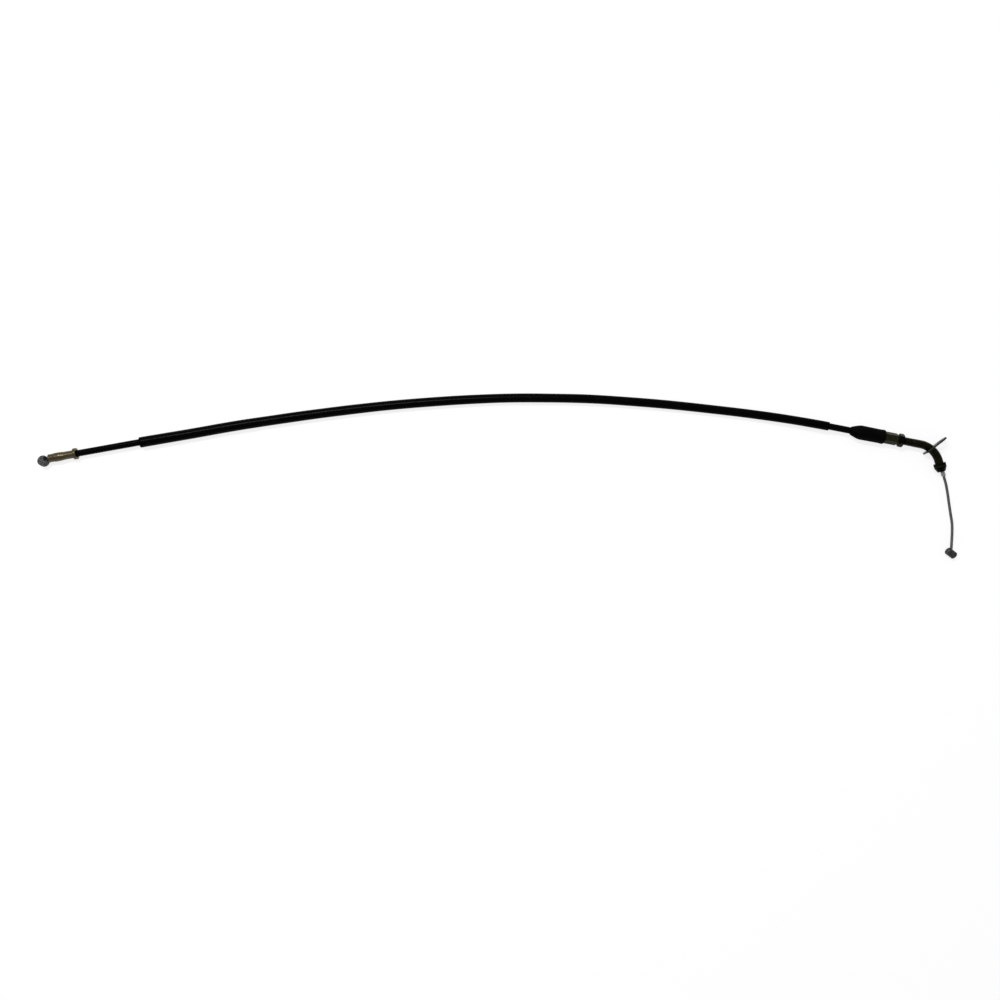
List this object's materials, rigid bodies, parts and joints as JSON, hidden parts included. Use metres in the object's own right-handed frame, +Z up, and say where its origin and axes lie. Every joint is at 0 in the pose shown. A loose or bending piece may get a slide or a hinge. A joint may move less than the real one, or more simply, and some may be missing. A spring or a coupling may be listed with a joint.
{
  "type": "throttle cable",
  "caption": "Throttle cable: sleeved black conduit with a flanged ferrule, adjuster under a rubber boot, bent steel elbow with a retainer plate, and a bare wire with a barrel nipple.",
  "frame": {"origin": "on the surface that the cable lies on, under the middle of its box", "axes": "+X along the cable from the carburettor end to the elbow, +Y away from the bare wire's end, +Z up"},
  "size_m": [0.689, 0.124, 0.0109],
  "materials": {
    "cast_zinc": "dull grey cast zinc",
    "yellow_passivated_steel": "yellow passivated turned steel",
    "olive_passivated_steel": "olive passivated steel",
    "blackened_steel": "blackened steel",
    "drawn_steel": "bright drawn steel",
    "plated_sheet_steel": "plated sheet steel",
    "black_vinyl": "black extruded vinyl, slightly glossy",
    "black_rubber": "matt black moulded rubber",
    "natural_nylon": "natural white nylon"
  },
  "bodies": {
    "conduit": {"carb_ferrule": "yellow_passivated_steel", "conduit_jacket": "black_vinyl", "conduit_armour": "drawn_steel", "conduit_liner": "natural_nylon", "inner_wire": "drawn_steel", "protective_sleeve": "black_vinyl", "conduit_end_cap": "drawn_steel"},
    "carb_end": {"carb_nipple": "cast_zinc", "carb_wire": "drawn_steel"},
    "boot": {"boot": "black_rubber"},
    "adjuster": {"adjuster_barrel": "olive_passivated_steel"},
    "elbow": {"elbow_tube": "olive_passivated_steel", "elbow_liner": "natural_nylon", "elbow_wire": "drawn_steel", "mouth_collar": "olive_passivated_steel", "throttle_wire": "drawn_steel"},
    "lock_nut": {"lock_nut": "blackened_steel"},
    "retainer": {"retainer_plate": "plated_sheet_steel"},
    "throttle_end": {"throttle_nipple": "cast_zinc"}
  },
  "joints": [
    {"name": "throttle_pull", "type": "slide", "parent": "elbow", "child": "throttle_end", "axis": [-0.1117, 0.9931, 0.0348], "range_m": [0, 0.045], "deforming": ["throttle_wire"]},
    {"name": "carb_pull", "type": "slide", "parent": "conduit", "child": "carb_end", "axis": [-0.9843, -0.1763, 0], "range_m": [0, 0.045]},
    {"name": "adjuster_turn", "type": "hinge", "parent": "conduit", "child": "adjuster", "pos_m": [0.3164, 0.024, 0.00545], "axis": [-0.9815, 0.1917, 0], "range_deg": [0, 1800]},
    {"name": "elbow_travel", "type": "slide", "parent": "conduit", "child": "elbow", "axis": [0.9815, -0.1917, 0], "range_m": [0, 0.005]},
    {"name": "lock_nut_run", "type": "slide", "parent": "elbow", "child": "lock_nut", "axis": [0.9815, -0.1917, 0], "range_m": [0, 0.0075]},
    {"name": "retainer_turn", "type": "hinge", "parent": "elbow", "child": "retainer", "pos_m": [0.32398, 0.02047, 0.00545], "axis": [0.6008, -0.7901, 0.1219], "continuous": true},
    {"name": "boot_slide", "type": "slide", "parent": "conduit", "child": "boot", "axis": [-0.9815, 0.1917, 0], "range_m": [0, 0.0145]}
  ],
  "couplings": [
    {"joint": "carb_pull", "follows": "throttle_pull", "ratio": 1},
    {"joint": "adjuster_turn", "follows": "elbow_travel", "rad_per_m": 6283.2}
  ]
}
